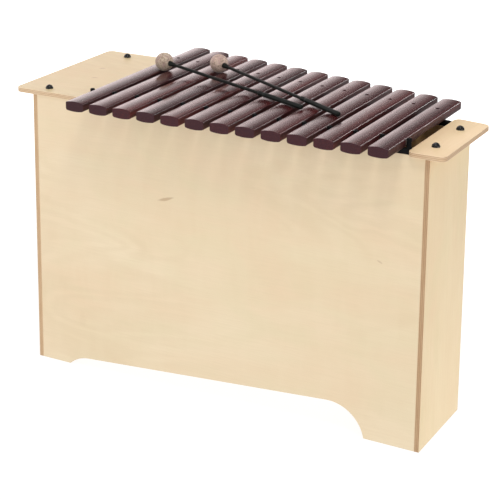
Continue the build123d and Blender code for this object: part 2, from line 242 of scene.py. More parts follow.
def plywood(name, thick_axis, t_low, grain, seed=0.0, thickness=9.0, marks=(), tone=(1, 1, 1), edge_tone=1.0, box=False):
    """Lacquered birch plywood. thick_axis is the board's unit normal, t_low the board's low face along it in metres,
    grain the unit direction of the face veneer's grain. marks are small mineral streaks on the face, in metres."""
    nt = new_mat(name)
    tc = nt.coords()
    p, nrm = tc.outputs["Object"], tc.outputs["Normal"]
    g, t = Vector(grain).normalized(), Vector(thick_axis).normalized()
    c = t.cross(g).normalized()
    u = nt.vmath("DOT_PRODUCT", p, tuple(g))      # along the grain
    v = nt.vmath("DOT_PRODUCT", p, tuple(c))      # across it, in the face
    w = nt.vmath("DOT_PRODUCT", p, tuple(t))      # through the thickness
    off = Vector((seed * 1.37, seed * 2.11, seed * 0.73))

    def q(su, sv, sw):
        return nt.vmath("ADD", nt.combine(nt.math("MULTIPLY", u, su), nt.math("MULTIPLY", v, sv), nt.math("MULTIPLY", w, sw)), tuple(off))

    # broad cloudy tone of a rotary-cut veneer
    cloud = nt.noise(q(3.0, 7.0, 2.0), 1.0, 3.0, 0.55, 0.6)
    cloud2 = nt.noise(q(5.5, 11.0, 2.0), 1.0, 2.0, 0.5, 1.2)
    # flame figure: contour lines of a stretched, warped field
    field = nt.noise(q(1.6, 5.2, 1.0), 1.0, 2.5, 0.5, 1.1)
    fig = nt.math("SINE", nt.math("MULTIPLY", field, 62.0))
    fig = nt.range(fig, -1, 1, 0, 1, "SMOOTHSTEP")
    fig_mask = nt.range(nt.noise(q(2.2, 4.0, 1.0), 1.0, 1.0), 0.42, 0.66, 0, 1, "SMOOTHSTEP")
    # fine fibre and short pores
    fibre = nt.noise(q(14.0, 420.0, 420.0), 1.0, 3.0, 0.6, 0.15)
    fibre2 = nt.noise(q(45.0, 900.0, 900.0), 1.0, 2.0, 0.6)
    pore = nt.range(nt.voronoi(q(150.0, 1100.0, 40.0), 1.0), 0.06, 0.16, 1.0, 0.0)
    pore = nt.math("MULTIPLY", pore, nt.range(nt.noise(q(20, 60, 10), 1.0), 0.48, 0.62, 0, 1))
    curl = nt.noise(q(34.0, 9.0, 1.0), 1.0, 2.0, 0.5, 0.4)

    base = [x * y for x, y in zip(BIRCH, tone)]
    dark = [base[0] * 0.90, base[1] * 0.86, base[2] * 0.80]
    pink = [base[0] * 1.00, base[1] * 0.935, base[2] * 0.90]
    green = [base[0] * 0.955, base[1] * 0.99, base[2] * 0.93]
    light = [min(1, base[0] * 1.045), base[1] * 1.05, base[2] * 1.06]
    face = nt.mix(nt.range(cloud, 0.35, 0.65, 0, 0.85), light, pink)
    face = nt.mix(nt.range(cloud2, 0.45, 0.72, 0, 0.55), face, green)
    face = nt.mix(nt.math("MULTIPLY", nt.math("MULTIPLY", fig, fig_mask), 0.34), face, dark)
    face = nt.mix(nt.range(fibre, 0.38, 0.72, 0.0, 0.26), face, dark)
    face = nt.mix(nt.range(fibre2, 0.5, 0.75, 0.0, 0.16), face, dark)
    face = nt.mix(nt.range(curl, 0.42, 0.62, 0.0, 0.16), face, light)
    face = nt.mix(nt.math("MULTIPLY", pore, 0.30), face, (0.36, 0.22, 0.11))
    for (mp, ml, mw, ang, amt) in marks:
        mu, mv = Vector(mp).dot(g), Vector(mp).dot(c)
        du = nt.math("SUBTRACT", u, mu)
        dv = nt.math("SUBTRACT", v, mv)
        ca, sa = math.cos(ang), math.sin(ang)
        a = nt.math("ADD", nt.math("MULTIPLY", du, ca / ml), nt.math("MULTIPLY", dv, sa / ml))
        b = nt.math("ADD", nt.math("MULTIPLY", du, -sa / mw), nt.math("MULTIPLY", dv, ca / mw))
        wob = nt.math("MULTIPLY", nt.math("SUBTRACT", nt.noise(q(60, 200, 10), 1.0, 2.0), 0.5), 1.1)
        b = nt.math("ADD", b, wob)
        d = nt.math("ADD", nt.math("MULTIPLY", a, a), nt.math("MULTIPLY", b, b))
        k = nt.range(d, 0.15, 1.0, amt, 0.0, "SMOOTHSTEP")
        face = nt.mix(k, face, (0.40, 0.24, 0.12))

    if box:                                       # painted shade: faces turned into the box are darkened towards amber
        inward = nt.vmath("DOT_PRODUCT", nrm, nt.vmath("SUBTRACT", (0.0, 0.02, 0.30), p))
        inner_painted_shade = nt.mix(nt.range(fibre, 0.35, 0.70, 0.0, 0.5), (base[0] * 0.93, base[1] * 0.70, base[2] * 0.40), (base[0] * 0.72, base[1] * 0.50, base[2] * 0.26))
        face = nt.mix(nt.range(inward, 0.0, 0.01, 0.0, 0.85), face, inner_painted_shade)

    # edges: seven plies, alternately long grain and end grain, with dark glue lines
    s = nt.math("MULTIPLY", nt.math("SUBTRACT", w, t_low), 1000.0 / thickness)
    wav = nt.math("MULTIPLY", nt.math("SUBTRACT", nt.noise(q(30, 30, 0), 1.0, 1.0), 0.5), 0.035)
    s = nt.math("ADD", s, wav)
    tan, tan_d, tan_l = (0.560, 0.365, 0.205), (0.400, 0.235, 0.120), (0.690, 0.500, 0.310)
    et = edge_tone if hasattr(edge_tone, "__len__") else (edge_tone,) * 3
    tan, tan_d, tan_l = [[min(0.95, x * e) for x, e in zip(k, et)] for k in (tan, tan_d, tan_l)]
    stops = []
    cuts = [0.0, 0.105, 0.26, 0.415, 0.585, 0.74, 0.895, 1.0]
    # the outer plies are painted lighter than the inner long-grain plies: a painted highlight along the board's edge
    cols = [tan_l, tan_d, tan, tan_d, tan, tan_d, tan_l]
    for i, colr in enumerate(cols):
        lo, hi = cuts[i], cuts[i + 1]
        stops.append((lo + (0.012 if i else 0.0), colr))
        stops.append((hi - 0.012, colr))
    glue = tuple(x * 0.62 for x in tan_d)
    for x_ in cuts[1:-1]:
        stops.append((x_, glue))
    edge = nt.ramp(s, stops)
    end_grain = nt.noise(q(700.0, 700.0, 500.0), 1.0, 2.0, 0.6)
    edge = nt.mix(nt.range(end_grain, 0.35, 0.7, 0.0, 0.35), edge, tan_d)
    streak = nt.noise(q(26.0, 26.0, 900.0), 1.0, 2.0, 0.6)
    edge = nt.mix(nt.range(streak, 0.45, 0.75, 0.0, 0.30), edge, tan_l)

    nd = nt.math("ABSOLUTE", nt.vmath("DOT_PRODUCT", nrm, tuple(t)))
    is_face = nt.range(nd, 0.55, 0.85, 0.0, 1.0, "SMOOTHSTEP")
    color = nt.mix(is_face, edge, face)
    rough = nt.math("ADD", nt.range(fibre, 0.3, 0.7, 0.34, 0.44), nt.math("MULTIPLY", nt.math("SUBTRACT", 1.0, is_face), 0.2))
    h = nt.math("ADD", nt.math("MULTIPLY", fibre, 0.6), nt.math("MULTIPLY", fibre2, 0.3))
    h = nt.math("SUBTRACT", h, nt.math("MULTIPLY", pore, 0.5))
    h = nt.math("ADD", h, nt.math("MULTIPLY", nt.math("MULTIPLY", end_grain, nt.math("SUBTRACT", 1.0, is_face)), 1.4))
    nrm_out = nt.bump(h, 0.35, 0.00025)
    return nt.finish(color, rough, nrm_out, spec=0.42)


# ------------------------------------------------------------------ rosewood
def rosewood(name, seed, red=0.0, light=1.0):
    """Polished rosewood, grain along Y: dark streaks, fine long pores, matte end grain."""
    nt = new_mat(name)
    tc = nt.coords()
    p, nrm = tc.outputs["Object"], tc.outputs["Normal"]
    sep = nt.n("ShaderNodeSeparateXYZ")
    nt.put(sep.inputs[0], p)
    x, y, z = sep.outputs
    off = (seed * 3.17, seed * 1.91, seed * 2.53)
    # long, slightly wandering grain
    wander = nt.math("MULTIPLY", nt.math("SUBTRACT", nt.noise(nt.vmath("ADD", nt.combine(0, nt.math("MULTIPLY", y, 4.0), 0), off), 1.0, 2.0), 0.5), 0.012)
    xw = nt.math("ADD", x, wander)

    def q(sx, sy, sz):
        return nt.vmath("ADD", nt.combine(nt.math("MULTIPLY", xw, sx), nt.math("MULTIPLY", y, sy), nt.math("MULTIPLY", z, sz)), off)

    band = nt.noise(q(95.0, 1.6, 60.0), 1.0, 3.0, 0.6, 0.8)
    ring = nt.noise(q(330.0, 2.6, 240.0), 1.0, 3.0, 0.6, 0.3)
    fine = nt.noise(q(1500.0, 14.0, 1100.0), 1.0, 2.0, 0.6)
    pore = nt.range(nt.voronoi(q(1700.0, 95.0, 500.0), 1.0), 0.10, 0.24, 1.0, 0.0)
    pore = nt.math("MULTIPLY", pore, nt.range(nt.noise(q(300.0, 12.0, 200.0), 1.0, 1.0), 0.40, 0.60, 0, 1))
    speck = nt.noise(q(760.0, 150.0, 300.0), 1.0, 2.0, 0.7)
    deep = (0.022 * light, 0.0060 * light, 0.0070 * light)
    mid = ((0.050 + 0.034 * red) * light, (0.0130 + 0.002 * red) * light, (0.0150) * light)
    warm = ((0.100 + 0.055 * red) * light, (0.025 + 0.004 * red) * light, (0.025) * light)
    col = nt.mix(nt.range(band, 0.34, 0.62, 0, 1, "SMOOTHSTEP"), deep, mid)
    col = nt.mix(nt.range(ring, 0.50, 0.74, 0.0, 0.75), col, warm)
    col = nt.mix(nt.range(ring, 0.28, 0.44, 0.65, 0.0), col, deep)
    col = nt.mix(nt.range(fine, 0.42, 0.70, 0.0, 0.35), col, warm)
    col = nt.mix(nt.math("MULTIPLY", pore, 0.7), col, (0.010, 0.004, 0.004))
    col = nt.mix(nt.range(speck, 0.52, 0.70, 0.0, 0.55), col, deep)
    # end grain
    ny = nt.math("ABSOLUTE", nt.vmath("DOT_PRODUCT", nrm, (0, 1, 0)))
    is_end = nt.range(ny, 0.55, 0.85, 0, 1, "SMOOTHSTEP")
    eg = nt.noise(nt.vmath("ADD", nt.combine(nt.math("MULTIPLY", x, 900.0), 0, nt.math("MULTIPLY", z, 900.0)), off), 1.0, 2.0, 0.6)
    rings = nt.noise(nt.vmath("ADD", nt.combine(nt.math("MULTIPLY", x, 160.0), 0, nt.math("MULTIPLY", z, 420.0)), off), 1.0, 2.0, 0.5, 0.5)
    endc = nt.mix(nt.range(eg, 0.35, 0.7, 0.0, 1.0), (0.034 + 0.012 * red, 0.0135, 0.0165), (0.066 + 0.03 * red, 0.0255, 0.029))
    endc = nt.mix(nt.range(rings, 0.45, 0.6, 0.0, 0.5), endc, (0.042, 0.017, 0.024))
    col = nt.mix(is_end, col, endc)
    rough = nt.math("ADD", nt.range(fine, 0.3, 0.7, 0.165, 0.245), nt.math("MULTIPLY", is_end, 0.30))
    rough = nt.math("ADD", rough, nt.math("MULTIPLY", pore, 0.25))
    smear = nt.noise(q(30.0, 14.0, 10.0), 1.0, 2.0, 0.5)
    rough = nt.math("ADD", rough, nt.range(smear, 0.35, 0.65, -0.03, 0.04))
    h = nt.math("ADD", nt.math("MULTIPLY", fine, 0.35), nt.math("MULTIPLY", ring, 0.55))
    h = nt.math("SUBTRACT", h, nt.math("MULTIPLY", pore, 0.9))
    h = nt.math("ADD", h, nt.math("MULTIPLY", nt.math("MULTIPLY", eg, is_end), 1.2))
    h = nt.math("ADD", h, nt.math("MULTIPLY", speck, 0.9))
    nz = nt.math("ABSOLUTE", nt.vmath("DOT_PRODUCT", nrm, (0, 0, 1)))
    nx = nt.math("ABSOLUTE", nt.vmath("DOT_PRODUCT", nrm, (1, 0, 0)))
    flat = nt.math("MAXIMUM", nt.math("MAXIMUM", nt.range(nz, 0.88, 0.965, 0.0, 1.0), nt.range(nx, 0.90, 0.98, 0.0, 1.0)), is_end)
    side = nt.range(nx, 0.86, 0.97, 0.0, 1.0)
    arris = nt.range(nx, 0.28, 0.50, 0.0, 1.0)
    rough = nt.math("ADD", rough, nt.math("MULTIPLY", nt.math("SUBTRACT", arris, nt.math("MULTIPLY", side, -0.9)), 0.15))
    spec = nt.math("SUBTRACT", 0.55, nt.math("MULTIPLY", nt.math("MAXIMUM", is_end, nt.math("MULTIPLY", side, 0.75)), 0.42))
    return nt.finish(col, rough, nt.bump(h, nt.range(flat, 0.0, 1.0, 0.04, 0.46), 0.00024), spec=spec)


# ------------------------------------------------------------------ other materials
def rubber(name, col=(0.004, 0.004, 0.0043), rough=0.62, scale=1600.0, bump=0.00012, spec=0.2):
    nt = new_mat(name)
    p = nt.coords().outputs["Object"]
    n1 = nt.noise(p, scale, 3.0, 0.6)
    n2 = nt.noise(p, 60.0, 2.0, 0.5)
    c = nt.mix(nt.range(n1, 0.35, 0.7, 0, 1), col, [min(1, x * 2.1 + 0.004) for x in col])
    c = nt.mix(nt.range(n2, 0.5, 0.75, 0, 0.25), c, [x * 2.6 + 0.006 for x in col])
    r = nt.math("ADD", nt.range(n1, 0.3, 0.7, -0.08, 0.08), rough)
    return nt.finish(c, r, nt.bump(n1, 0.5, bump), spec=spec)


def steel(name):
    nt = new_mat(name)
    p = nt.coords().outputs["Object"]
    sep = nt.n("ShaderNodeSeparateXYZ")
    nt.put(sep.inputs[0], p)
    br = nt.noise(nt.combine(nt.math("MULTIPLY", sep.outputs[0], 200.0), nt.math("MULTIPLY", sep.outputs[1], 200.0), nt.math("MULTIPLY", sep.outputs[2], 9000.0)), 1.0, 2.0)
    c = nt.mix(br, (0.42, 0.42, 0.43), (0.62, 0.61, 0.60))
    return nt.finish(c, nt.range(br, 0.3, 0.7, 0.22, 0.38), nt.bump(br, 0.2, 0.00005), metallic=1.0)


def black_metal(name):
    nt = new_mat(name)
    p = nt.coords().outputs["Object"]
    n1 = nt.noise(p, 2200.0, 2.0, 0.6)
    n2 = nt.noise(p, 420.0, 3.0, 0.6)
    c = nt.mix(nt.range(n1, 0.4, 0.7, 0, 1), (0.004, 0.004, 0.004), (0.010, 0.009, 0.008))
    c = nt.mix(nt.range(n2, 0.66, 0.80, 0, 0.4), c, (0.045, 0.040, 0.034))
    return nt.finish(c, nt.range(n2, 0.3, 0.7, 0.20, 0.30), nt.bump(n1, 0.25, 0.00005), spec=0.5, ior=1.42)


def wool(name, seed, a=(0.40, 0.300, 0.215), b=(0.66, 0.535, 0.415), c=(0.45, 0.305, 0.265)):
    """Wound wool: mottled beige and pinkish grey, with twisted fibres in the yarn."""
    nt = new_mat(name)
    tc = nt.coords()
    p = nt.vmath("ADD", tc.outputs["Object"], (seed, seed * 0.7, seed * 0.3))
    n1 = nt.noise(p, 300.0, 3.0, 0.65)
    n2 = nt.noise(p, 800.0, 2.0, 0.6)
    n3 = nt.noise(p, 110.0, 2.0, 0.5)
    col = nt.mix(nt.range(n1, 0.38, 0.60, 0, 1, "SMOOTHSTEP"), a, b)
    col = nt.mix(nt.range(n3, 0.47, 0.62, 0, 0.85), col, c)
    col = nt.mix(nt.range(n1, 0.30, 0.42, 0.75, 0.0), col, [x * 0.45 for x in a])
    col = nt.mix(nt.range(n2, 0.52, 0.72, 0, 0.75), col, [x * 0.45 for x in a])
    col = nt.mix(nt.range(n2, 0.22, 0.42, 0.75, 0.0), col, [min(1, x * 1.3) for x in b])
    h = nt.math("ADD", n2, nt.math("MULTIPLY", nt.noise(p, 2600.0, 2.0, 0.7), 0.6))
    return nt.finish(col, 0.92, nt.bump(h, 0.9, 0.0004), spec=0.15, sheen=0.25)


def glassfibre(name):
    """Black glass-fibre rod: faint fibres along the shaft, satin, slightly green in the light."""
    nt = new_mat(name)
    p = nt.coords().outputs["Object"]
    n1 = nt.noise(p, 700.0, 3.0, 0.6)
    n2 = nt.noise(p, 90.0, 2.0, 0.5)
    c = nt.mix(nt.range(n1, 0.35, 0.7, 0, 1), (0.0040, 0.0046, 0.0038), (0.0110, 0.0120, 0.0098))
    c = nt.mix(nt.range(n2, 0.5, 0.7, 0, 0.3), c, (0.018, 0.020, 0.016))
    return nt.finish(c, nt.range(n1, 0.3, 0.7, 0.32, 0.46), nt.bump(n1, 0.3, 0.00008), spec=0.16)


# ------------------------------------------------------------------ mesh helpers
def link_mesh(name, bm, smooth_angle=None):
    me = bpy.data.meshes.new(name)
    bmesh.ops.recalc_face_normals(bm, faces=bm.faces)
    bm.to_mesh(me)
    bm.free()
    ob = bpy.data.objects.new(name, me)
    bpy.context.scene.collection.objects.link(ob)
    if smooth_angle is not None:
        me.shade_smooth()
        me.set_sharp_from_angle(angle=math.radians(smooth_angle))
    return ob


def board(name, outline, u_vec, v_vec, origin, t_vec, thickness, arris=0.0005, segs=3):
    """A flat board: outline in millimetres in the (u, v) plane, extruded along t_vec, with its arrises eased."""
    bm = bmesh.new()
    u_, v_, t_ = Vector(u_vec), Vector(v_vec), Vector(t_vec).normalized()
    low = [bm.verts.new(origin + u_ * (a / 1000) + v_ * (b / 1000)) for a, b in outline]
    f = bm.faces.new(low)
    r = bmesh.ops.extrude_face_region(bm, geom=[f])
    top = [g for g in r["geom"] if isinstance(g, bmesh.types.BMVert)]
    bmesh.ops.translate(bm, verts=top, vec=t_ * (thickness / 1000))
    bmesh.ops.recalc_face_normals(bm, faces=bm.faces)
    sharp = [e for e in bm.edges if len(e.link_faces) == 2 and e.calc_face_angle() > math.radians(30)]
    bmesh.ops.bevel(bm, geom=sharp, offset=arris, segments=segs, profile=0.5, affect="EDGES", clamp_overlap=True)
    ob = link_mesh(name, bm)
    ob.data.shade_smooth()
    mod = ob.modifiers.new("wn", "WEIGHTED_NORMAL")
    mod.keep_sharp = False
    mod.weight = 90
    return ob


def pine(name):
    """Planed softwood for the hidden glue blocks, grain upright."""
    nt = new_mat(name)
    tc = nt.coords()
    sep = nt.n("ShaderNodeSeparateXYZ")
    nt.put(sep.inputs[0], tc.outputs["Object"])
    x, y, z = sep.outputs
    q = nt.combine(nt.math("MULTIPLY", x, 160.0), nt.math("MULTIPLY", y, 160.0), nt.math("MULTIPLY", z, 5.0))
    n1 = nt.noise(q, 1.0, 3.0, 0.55, 0.4)
    n2 = nt.noise(nt.vmath("MULTIPLY", q, (6, 6, 4)), 1.0, 2.0)
    c = nt.mix(nt.range(n1, 0.4, 0.6, 0, 1, "SMOOTHSTEP"), (0.72, 0.50, 0.25), (0.55, 0.33, 0.14))
    c = nt.mix(nt.range(n2, 0.45, 0.7, 0, 0.3), c, (0.42, 0.26, 0.12))
    return nt.finish(c, 0.7, nt.bump(n2, 0.4, 0.0003), spec=0.3)


def set_mat(ob, mat):
    ob.data.materials.clear()
    ob.data.materials.append(mat)
    return ob


def place(ob, body, slot, mat, *replaced):
    set_mat(ob, mat)
    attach(ob, body)
    if replaced:
        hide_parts(*replaced)
    return ob


# ------------------------------------------------------------------ resonator box boards
SKEW = math.sqrt(1 + SLANT * SLANT)
CUT_R, CL, CR = 70.0, (120.4, -51.1), (626.2, -13.1)


def back_outer(x):
    return 188.2 + SLANT * (800.0 - x)


def back_inner(x):
    return back_outer(x) - 9.0 * SKEW


def arc(c, r, a0, a1, n):
    return [(c[0] + r * math.cos(a0 + (a1 - a0) * i / n), c[1] + r * math.sin(a0 + (a1 - a0) * i / n)) for i in range(n + 1)]


s_ = (CR[1] - CL[1]) / (CR[0] - CL[0])
a_t = math.atan2(1, -s_)
aL = math.atan2(-CL[1], -math.sqrt(CUT_R**2 - CL[1] ** 2))
aR = math.atan2(-CR[1], math.sqrt(CUT_R**2 - CR[1] ** 2))
cut_outline = [(9.0, 0.0)] + arc(CL, CUT_R, aL, a_t, 18) + arc(CR, CUT_R, a_t, aR, 26) + [(791.0, 0.0), (791.0, 536.0), (9.0, 536.0)]

front = board("front_board", cut_outline, (1, 0, 0), (0, 0, 1), P(0, 0, 0), (0, 1, 0), 9.0)
FRONT_MARKS = [
    ((P(291, 0, 376)), 0.021, 0.0034, math.radians(-17), 0.52),
    ((P(716, 0, 337)), 0.007, 0.0018, math.radians(25), 0.34),
    ((P(104, 0, 98)), 0.010, 0.016, 0.0, 0.05),
]
place(front, "resonator", "birch_plywood",
      plywood("birch_front", (0, 1, 0), -0.14035, (1, 0, 0), seed=1.0, marks=FRONT_MARKS, box=True), "front_panel")

back_n = Vector((SLANT, 1, 0)).normalized()
back_outline = [(x, z) for x, z in cut_outline]
bo = board("back_board", back_outline, (1, -SLANT, 0), (0, 0, 1), P(0, back_inner(0), 0), back_n, 9.0)
# the ends of the slanting board are cut square to the box, so they meet the end boards flat
for v in bo.data.vertices:
    d = (v.co - P(0, back_inner(0), 0)).dot(back_n)
    v.co.x -= back_n.x * d * 1.0
    v.co.y += back_n.x * d * SLANT
place(bo, "resonator", "birch_plywood",
      plywood("birch_back", tuple(back_n), P(0, back_inner(0), 0).dot(back_n), (1, -SLANT, 0), seed=4.0, box=True), "back_panel")

le = board("left_end_board", [(0, 0), (9, 0), (9, back_outer(9)), (0, back_outer(0))], (1, 0, 0), (0, 1, 0), P(0, 0, 0), (0, 0, 1), 536.0)
place(le, "resonator", "birch_plywood", plywood("birch_left_end", (1, 0, 0), -0.396, (0, 0, 1), seed=7.0, edge_tone=(1.18, 1.24, 1.30), box=True), "left_end_panel")
re_ = board("right_end_board", [(791, 0), (800, 0), (800, back_outer(800)), (791, back_outer(791))], (1, 0, 0), (0, 1, 0), P(0, 0, 0), (0, 0, 1), 536.0)
# the tone makes this board brighter and warmer than the front: partly its own warm veneer, partly painted light on the
# right-facing end
place(re_, "resonator", "birch_plywood",
      plywood("birch_right_end", (1, 0, 0), 0.395, (0, 0, 1), seed=9.3, tone=(1.095, 1.045, 0.91), box=True), "right_end_panel")


def rounded(points, r, n=8):
    """A convex outline with its corners rounded, anticlockwise."""
    out = []
    k = len(points)
    for i in range(k):
        a, b, c = Vector(points[i - 1]), Vector(points[i]), Vector(points[(i + 1) % k])
        d1, d2 = (a - b).normalized(), (c - b).normalized()
        half = math.acos(max(-1, min(1, d1.dot(d2)))) / 2
        centre = b + (d1 + d2).normalized() * (r / math.sin(half))
        s, e = b + d1 * (r / math.tan(half)), b + d2 * (r / math.tan(half))
        a0, a1 = math.atan2(*(s - centre).yx), math.atan2(*(e - centre).yx)
        while a1 < a0:
            a1 += 2 * math.pi
        if a1 - a0 > math.pi:
            a1 -= 2 * math.pi
        out += [(centre.x + r * math.cos(a0 + (a1 - a0) * j / n), centre.y + r * math.sin(a0 + (a1 - a0) * j / n)) for j in range(n + 1)]
    return out


lc = board("left_top_board", rounded([(-38, -3.5), (126, -3.5), (126, 327), (-38, 327)], 12), (1, 0, 0), (0, 1, 0), P(0, 0, 536), (0, 0, 1), 9.0, arris=0.0008)
CAP_MARKS = [
    (P(29, 196, 545), 0.0080, 0.0036, math.radians(28), 0.62),
    (P(55, 128, 545), 0.0080, 0.0032, math.radians(28), 0.52),
]
place(lc, "resonator", "birch_plywood",
      plywood("birch_left_top", (0, 0, 1), 0.536, (1, 0, 0), seed=12.1, marks=CAP_MARKS, tone=(0.885, 0.86, 0.745), edge_tone=(1.34, 1.50, 1.70)), "left_cap_board")
rc = board("right_top_board", rounded([(763, -12), (830, -12), (830, 205.0), (763, 214.5)], 12), (1, 0, 0), (0, 1, 0), P(0, 0, 536), (0, 0, 1), 9.0, arris=0.0008)
place(rc, "resonator", "birch_plywood", plywood("birch_right_top", (0, 0, 1), 0.536, (0, 1, 0), seed=15.7, tone=(1.115, 1.035, 0.94), edge_tone=(1.34, 1.46, 1.62)), "right_cap_board")

# ------------------------------------------------------------------ inner boards and small CAD parts
fl_n = Vector((-s_, 0, 1)).normalized()
fl_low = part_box("bottom_board")[0]
set_mat(NODES["bottom_board"], plywood("birch_floor", tuple(fl_n), Vector((fl_low.x, 0, fl_low.z)).dot(fl_n), (1, 0, s_), seed=20.0, thickness=6.0, box=True))
for i in (1, 2, 3):
    lo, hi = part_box(f"divider_{i}")
    # painted shade: the dividers inside the box are tinted darker amber
    set_mat(NODES[f"divider_{i}"], plywood(f"birch_divider_{i}", (1, 0, 0), lo.x, (0, 0, 1), seed=22.0 + i, thickness=6.0, tone=(0.95, 0.80, 0.55)))
pine_mat = pine("softwood")
set_mat(NODES["corner_cleats"], pine_mat)
set_mat(NODES["left_cap_cleat"], pine_mat)
strip_mat = rubber("rail_rubber", scale=1200.0, bump=0.0003, rough=0.85, spec=0.1)
sleeve_mat = rubber("sleeve_rubber", rough=0.85, spec=0.06)
for n in ("front_rail_strip", "back_rail_strip"):
    set_mat(NODES[n], strip_mat)
for n in ("front_pin_sleeves", "back_pin_sleeves"):
    set_mat(NODES[n], sleeve_mat)
steel_mat = steel("steel_pin")
for n in ("front_pins", "back_pins"):
    set_mat(NODES[n], steel_mat)
set_mat(NODES["cap_screws"], black_metal("black_screw"))

# ------------------------------------------------------------------ tone bars
REDS = [0.0, 0.2, 1.0, 0.2, 0.85, 0.35, 0.6, 0.3, 0.55, 0.5, 0.75, 0.5, 0.3]
LIGHTS = [1.0, 1.05, 1.15, 0.95, 1.1, 0.9, 1.05, 0.95, 1.0, 0.9, 1.1, 1.0, 1.0]


def tone_bar(i):
    """One bar: crowned top, rounded belly, eased arrises, a tuning arch underneath and the pin hole."""
    t = i / 12
    x0, ya, yb = 155.88 + 48.32 * i, -92.2 + 22.3 * t, 372.9 - 111.2 * t
    w, zb, zt, crown, belly, rt, rl, re = 18.55, 547.75, 562.3, 2.3, 2.1, 2.1, 3.6, 0.9
    ra, rb = (w * w + crown * crown) / (2 * crown), (w * w + belly * belly) / (2 * belly)
    za, zc = zt + crown - ra, zb - belly + rb
    ft = math.asin((w - rt) / (ra - rt))
    fb = math.asin((w - rl) / (rb - rl))
    zf = za + math.sqrt((ra - rt) ** 2 - (w - rt) ** 2)
    zg = zc - math.sqrt((rb - rl) ** 2 - (w - rl) ** 2)
    half = []                                  # right half, from the crown's middle down to the belly's middle
    for k in range(9):
        f = ft * k / 8
        half.append((ra * math.sin(f), za + ra * math.cos(f), f))
    for k in range(1, 7):
        f = ft + (math.pi / 2 - ft) * k / 6
        half.append((w - rt + rt * math.sin(f), zf + rt * math.cos(f), f))
    for k in (1, 2):
        half.append((w, zf + (zg - zf) * k / 3, math.pi / 2))
    for k in range(7):
        f = math.pi / 2 + (math.pi / 2 - fb) * k / 6
        half.append((w - rl + rl * math.sin(f), zg + rl * math.cos(f), f))
    for k in range(1, 8):
        f = math.pi - fb + fb * k / 7
        half.append((rb * math.sin(f), zc + rb * math.cos(f), f))
    loop = half + [(-px, pz, -f) for px, pz, f in reversed(half[1:-1])]
    z_min = zb - belly
    hy = back_outer(x0) - 4.5 * SKEW
    a_, b_ = 4.6 + 17.0, hy - 17.0
    depth, z_low = 9.0 + (6.2 - 9.0) * t, zb - belly - 0.6
    ar = ((b_ - a_) ** 2 / 4 + depth * depth) / (2 * depth)

    def arch(y):
        if not a_ < y < b_:
            return -1e9
        return z_low + depth - ar + math.sqrt(ar * ar - (y - (a_ + b_) / 2) ** 2)

    st = [(ya + re * (1 - math.sin(q)), re * (1 - math.cos(q))) for q in (math.pi / 2 * (1 - k / 5) for k in range(6))]
    n_mid = int((yb - ya) / 7.0)
    st += [(ya + re + (yb - ya - 2 * re) * k / n_mid, 0.0) for k in range(1, n_mid)]
    st += [(yb - y_ + ya, ins) for y_, ins in reversed(st[:6])]
    bm = bmesh.new()
    rings = []
    for y, ins in st:
        za_ = arch(y)
        ring = []
        for px, pz, f in loop:
            qx, qz = px - ins * math.sin(f), pz - ins * math.cos(f)
            if qz < za_:
                qz = za_ + 0.02 * (qz - z_min)
            ring.append(bm.verts.new(P(x0 + qx, y, qz)))
        rings.append(ring)
    n = len(loop)
    for r0, r1 in zip(rings, rings[1:]):
        for k in range(n):
            bm.faces.new((r0[k], r0[(k + 1) % n], r1[(k + 1) % n], r1[k]))
    bm.faces.new(rings[0])
    bm.faces.new(list(reversed(rings[-1])))
    ob = link_mesh(f"tone_bar_{i + 1:02d}", bm)
    at = Matrix.Translation(P(x0, hy, 0))
    cutter = lathe("cutter", [(535, 0.0), (535, 3.75), (564.15, 3.75), (564.62, 4.15), (570, 4.15), (570, 0.0)], at, segs=40)
    mod = ob.modifiers.new("hole", "BOOLEAN")
    mod.operation, mod.object, mod.solver = "DIFFERENCE", cutter, "EXACT"
    me = bpy.data.meshes.new_from_object(ob.evaluated_get(bpy.context.evaluated_depsgraph_get()))
    ob.modifiers.clear()
    ob.data = me
    bpy.data.objects.remove(cutter, do_unlink=True)
    me.shade_smooth()
    me.set_sharp_from_angle(angle=math.radians(38))
    wn = ob.modifiers.new("wn", "WEIGHTED_NORMAL")
    wn.keep_sharp, wn.weight = True, 80
    return ob


def lathe(name, profile, mat4, segs=40, smooth=35):
    """Turned piece: profile of (distance along the axis, radius) in millimetres."""
    bm = bmesh.new()
    rings = []
    for s, r in profile:
        if r <= 1e-6:
            rings.append([bm.verts.new(mat4 @ Vector((0, 0, s / 1000)))])
        else:
            rings.append([bm.verts.new(mat4 @ Vector((r / 1000 * math.cos(2 * math.pi * k / segs), r / 1000 * math.sin(2 * math.pi * k / segs), s / 1000))) for k in range(segs)])
    for a, b in zip(rings, rings[1:]):
        for k in range(segs):
            k2 = (k + 1) % segs
            if len(a) == 1:
                bm.faces.new((a[0], b[k], b[k2]))
            elif len(b) == 1:
                bm.faces.new((a[k], b[0], a[k2]))
            else:
                bm.faces.new((a[k], b[k], b[k2], a[k2]))
    return link_mesh(name, bm, smooth)


for i in range(13):
    place(tone_bar(i), f"bar_{i + 1:02d}", "rosewood", rosewood(f"rosewood_{i + 1:02d}", 1.0 + i * 1.7, REDS[i], LIGHTS[i]), f"bar_{i + 1:02d}")

# ------------------------------------------------------------------ mallets
MALLETS = [
    dict(head=(178.3, 185.3, 579.95), tail=(530.91, 67.32), tail_z=568.39),
    dict(head=(276.0, 226.9, 579.70), tail=(607.31, 58.09), tail_z=568.72),
]


def axis_frame(head, tail, tail_z):
    o = P(*head)
    z = (P(tail[0], tail[1], tail_z) - o).normalized()
    x = z.cross(Vector((0, 0, 1))).normalized()
    y = z.cross(x)
    m_ = Matrix((x, y, z)).transposed().to_4x4()
    m_.translation = o
    return m_


